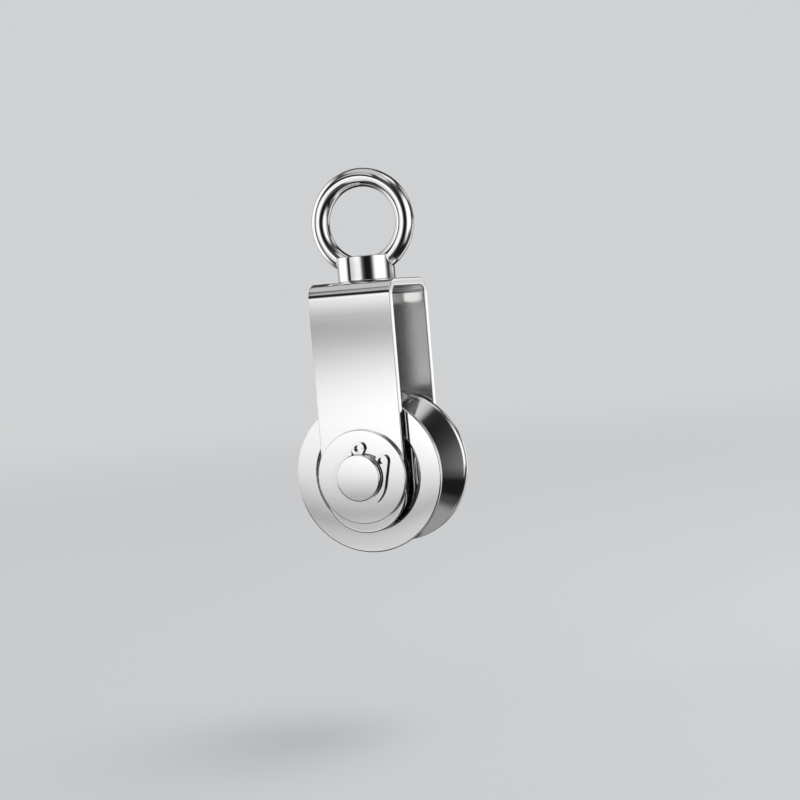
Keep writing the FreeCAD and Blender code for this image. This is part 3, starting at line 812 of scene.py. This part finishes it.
nut_steel = steel("machined nut", (0.84, 0.84, 0.83), 0.10)
add_grain(nut_steel, noise(nut_steel, 1400), 0.08, 0.14, 0.0001 * MM)
nut_corner = NUT_HALF_FLATS / math.cos(math.radians(30))
nut_slope = (nut_corner - NUT_HALF_FLATS) * math.tan(math.radians(30))
hexagon = bmesh.new()
bmesh.ops.create_cone(hexagon, cap_ends=True, segments=6, radius1=nut_corner, radius2=nut_corner,
                      depth=THRUST_WASHER_BOTTOM - NUT_BOTTOM,
                      matrix=Matrix.Translation((0, 0, (THRUST_WASHER_BOTTOM + NUT_BOTTOM) / 2))
                      @ Matrix.Rotation(math.radians(30), 4, "Z"))
lock_nut = placed("lock_nut_body", hexagon, [nut_steel])
combine(lock_nut, turned("nut barrel", [
    (NUT_BORE, NUT_BOTTOM, 0),
    (NUT_HALF_FLATS, NUT_BOTTOM, 0),
    (nut_corner, NUT_BOTTOM + nut_slope, 0),
    (nut_corner, THRUST_WASHER_BOTTOM - nut_slope, 0),
    (NUT_HALF_FLATS, THRUST_WASHER_BOTTOM, 0),
    (NUT_BORE, THRUST_WASHER_BOTTOM, 0),
], [], axis="Z", steps=96), "INTERSECT")
nut_edges = lock_nut.modifiers.new("eased edges", "BEVEL")
nut_edges.limit_method = "ANGLE"
nut_edges.angle_limit = math.radians(25)
nut_edges.width = NUT_EDGE
nut_edges.segments = 2
smooth(lock_nut)
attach(lock_nut, "eye")
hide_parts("lock_nut")

# Spacers on the axle
# Turned stainless rings that hold the bearings' inner races apart and off the legs.
SPACER_RADIUS = 8.8 * MM
SPACER_EDGE = 0.2 * MM
BEARING_OUTER_FACE = 11.25 * MM
LEG_INNER_FACE = 13.8 * MM

spacer_steel = steel("turned spacer", (0.78, 0.78, 0.77), 0.18)
add_grain(spacer_steel, noise(spacer_steel, 1500, (0.1, 1, 0.1)), 0.13, 0.25, 0.0003 * MM)
for name, start, end in (
        ("front_spacer", -LEG_INNER_FACE, -BEARING_OUTER_FACE),
        ("centre_spacer", -BEARING_INNER_FACE, BEARING_INNER_FACE),
        ("rear_spacer", BEARING_OUTER_FACE, LEG_INNER_FACE)):
    spacer = turned(name + "_ring", [
        (WASHER_BORE, start, SPACER_EDGE),
        (SPACER_RADIUS, start, SPACER_EDGE),
        (SPACER_RADIUS, end, SPACER_EDGE),
        (WASHER_BORE, end, SPACER_EDGE),
    ], [spacer_steel], steps=96)
    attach(spacer, "bracket")
    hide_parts(name)

# Ball bearings
# Two thin-section bearings, 15 x 24 x 5 mm. Ground races, fourteen balls in a bored cage, and
# two pressed shields that snap into steps of the outer race.
BEARING_CENTRE = 8.75 * MM
BEARING_HALF_WIDTH = 2.5 * MM
BEARING_RADIUS = 12.0 * MM
RACE_EDGE = 0.25 * MM
SHOULDER_EDGE = 0.15 * MM
INNER_SHOULDER_RADIUS = 8.95 * MM
OUTER_SHOULDER_RADIUS = 10.5 * MM
PITCH_RADIUS = 9.725 * MM
BALL_RADIUS = 1.1905 * MM
BALL_COUNT = 14
TRACK_RADIUS = 1.238 * MM
INNER_TRACK_CENTRE = 9.7327 * MM
OUTER_TRACK_CENTRE = 9.7173 * MM
SHIELD_BORE = 9.1 * MM
SHIELD_RADIUS = 10.85 * MM
SHIELD_INNER_FACE = 2.15 * MM
SHIELD_OUTER_FACE = 2.4 * MM
SHIELD_EDGE = 0.05 * MM
CAGE_BORE = 9.325 * MM
CAGE_RADIUS = 10.125 * MM
CAGE_HALF_WIDTH = 1.6 * MM
POCKET_RADIUS = 1.2505 * MM
POCKET_LENGTH = 2.4 * MM


def track(shoulder, track_centre, middle, direction):
    """The arc of a ball track in a race, from one shoulder to the other along the axle."""
    half = math.acos(abs(shoulder - track_centre) / TRACK_RADIUS)
    side = 1 if shoulder > track_centre else -1
    arc = []
    for step in range(13):
        angle = direction * half * (step / 6 - 1)
        arc.append((track_centre + side * TRACK_RADIUS * math.cos(angle),
                    middle + TRACK_RADIUS * math.sin(angle), 0))
    return arc


def ball_turn(number):
    """The turn about the axle from the first ball to another one."""
    return Matrix.Rotation(-2 * math.pi * number / BALL_COUNT, 4, "Y")


def cage_ring(name, middle, finish):
    """A thin ring with a pocket bored through it for each ball."""
    cage = turned(name, [
        (CAGE_BORE, middle - CAGE_HALF_WIDTH, 0),
        (CAGE_RADIUS, middle - CAGE_HALF_WIDTH, 0),
        (CAGE_RADIUS, middle + CAGE_HALF_WIDTH, 0),
        (CAGE_BORE, middle + CAGE_HALF_WIDTH, 0),
    ], [finish], steps=112)
    bm = bmesh.new()
    outward = Matrix.Rotation(math.radians(90), 4, "Y")
    pocket = Matrix.Translation((PITCH_RADIUS, middle, 0)) @ outward
    for number in range(BALL_COUNT):
        bmesh.ops.create_cone(bm, cap_ends=True, segments=24, radius1=POCKET_RADIUS,
                              radius2=POCKET_RADIUS, depth=POCKET_LENGTH,
                              matrix=ball_turn(number) @ pocket)
    bmesh.ops.recalc_face_normals(bm, faces=bm.faces)
    combine(cage, placed("pockets", bm, []), "DIFFERENCE")
    smooth(cage)
    return cage


def ball_set(name, middle, finish):
    bm = bmesh.new()
    first = Matrix.Translation((PITCH_RADIUS, middle, 0))
    for number in range(BALL_COUNT):
        bmesh.ops.create_uvsphere(bm, u_segments=24, v_segments=14, radius=BALL_RADIUS,
                                  matrix=ball_turn(number) @ first)
    piece = placed(name, bm, [finish])
    piece.data.shade_smooth()
    return piece


race_steel = steel("ground race", (0.74, 0.74, 0.735), 0.12)
add_grain(race_steel, turning_marks(race_steel, 0.1 * MM), 0.08, 0.18, 0.0001 * MM)
shield_steel = steel("pressed shield", (0.68, 0.68, 0.68), 0.25)
add_grain(shield_steel, noise(shield_steel, 1300), 0.20, 0.32, 0.0005 * MM)
cage_steel = steel("cage", (0.66, 0.63, 0.56), 0.28)
add_grain(cage_steel, noise(cage_steel, 1600), 0.22, 0.36, 0.0005 * MM)
ball_steel = steel("balls", (0.84, 0.84, 0.84), 0.03)
add_grain(ball_steel, noise(ball_steel, 900), 0.02, 0.05, 0)
for place, side in (("front", -1), ("rear", 1)):
    middle = side * BEARING_CENTRE
    low = middle - BEARING_HALF_WIDTH
    high = middle + BEARING_HALF_WIDTH
    step_low = middle - SHIELD_INNER_FACE
    step_high = middle + SHIELD_INNER_FACE
    inner_race = turned(place + "_inner_ring", [
        (WASHER_BORE, low, RACE_EDGE),
        (INNER_SHOULDER_RADIUS, low, SHOULDER_EDGE),
    ] + track(INNER_SHOULDER_RADIUS, INNER_TRACK_CENTRE, middle, 1) + [
        (INNER_SHOULDER_RADIUS, high, SHOULDER_EDGE),
        (WASHER_BORE, high, RACE_EDGE),
    ], [race_steel], steps=112)
    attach(inner_race, "bracket")
    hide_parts(place + "_inner_race")
    outer_race = turned(place + "_outer_ring", [
        (BEARING_RADIUS, high, RACE_EDGE),
        (SHIELD_RADIUS, high, 0),
        (SHIELD_RADIUS, step_high, 0),
        (OUTER_SHOULDER_RADIUS, step_high, 0),
    ] + track(OUTER_SHOULDER_RADIUS, OUTER_TRACK_CENTRE, middle, -1) + [
        (OUTER_SHOULDER_RADIUS, step_low, 0),
        (SHIELD_RADIUS, step_low, 0),
        (SHIELD_RADIUS, low, 0),
        (BEARING_RADIUS, low, RACE_EDGE),
    ], [race_steel], steps=112)
    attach(outer_race, "sheave")
    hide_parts(place + "_outer_race")
    for face, out in (("outer", side), ("inner", -side)):
        shield = turned(place + "_" + face + "_shield_ring", [
            (SHIELD_BORE, middle + out * SHIELD_INNER_FACE, SHIELD_EDGE),
            (SHIELD_RADIUS, middle + out * SHIELD_INNER_FACE, SHIELD_EDGE),
            (SHIELD_RADIUS, middle + out * SHIELD_OUTER_FACE, SHIELD_EDGE),
            (SHIELD_BORE, middle + out * SHIELD_OUTER_FACE, SHIELD_EDGE),
        ], [shield_steel], steps=112)
        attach(shield, "sheave")
        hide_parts(place + "_" + face + "_shield")
    cage = cage_ring(place + "_cage_ring", middle, cage_steel)
    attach(cage, place + "_cage")
    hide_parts(place + "_ball_cage")
    balls = ball_set(place + "_ball_set", middle, ball_steel)
    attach(balls, place + "_cage")
    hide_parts(place + "_balls")
